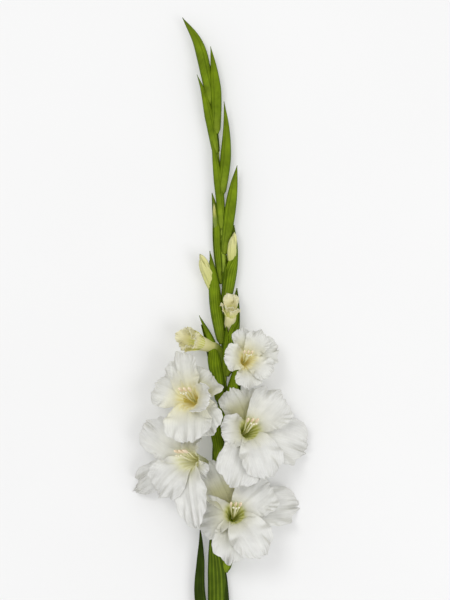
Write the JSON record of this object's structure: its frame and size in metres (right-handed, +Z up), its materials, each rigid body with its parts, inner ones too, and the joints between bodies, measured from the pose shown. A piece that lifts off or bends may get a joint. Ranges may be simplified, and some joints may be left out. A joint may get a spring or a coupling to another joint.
{
  "type": "cut gladiolus flower",
  "caption": "Single cut gladiolus stem lying on its back: green buds in bracts at the tip, opening buds below them, ruffled white blooms facing up, and sword leaves round the cut end.",
  "frame": {"origin": "middle of the small flat spot on the table under the lowest leaf's sheath, near the cut end", "axes": "+Y up the stem from the cut end to the tip, +X to the right as seen from above, +Z up from the table, the way the blooms face"},
  "size_m": [0.1746, 0.7544, 0.0742],
  "materials": {
    "stem": "smooth plant skin, slightly waxy",
    "leaf": "ribbed leaf, slightly waxy",
    "bract": "smooth bract, slightly waxy",
    "white_petal": "soft satin petal",
    "cream_petal": "soft satin petal",
    "stamen": "matt"
  },
  "bodies": {
    "root": {"stem": "stem", "leaf_middle": "leaf", "leaf_left": "leaf", "leaf_right": "leaf", "petals_07": "cream_petal", "petals_08": "cream_petal", "petals_09": "cream_petal", "petals_10": "cream_petal", "petals_11": "cream_petal", "bloom_12": "white_petal", "bloom_13": "white_petal", "bloom_14": "white_petal", "bloom_15": "white_petal", "bloom_16": "white_petal", "stamens_12": "stamen", "stamens_13": "stamen", "stamens_14": "stamen", "stamens_15": "stamen", "stamens_16": "stamen", "spathe_16": "bract", "spathe_15": "bract", "spathe_14": "bract", "spathe_13": "bract", "spathe_12": "bract", "spathe_11": "bract", "spathe_10": "bract", "spathe_09": "bract", "spathe_08": "bract", "spathe_07": "bract", "bud_06": "bract", "bud_05": "bract", "bud_04": "bract", "bud_03": "bract", "bud_02": "bract", "bud_01": "bract"}
  },
  "joints": []
}
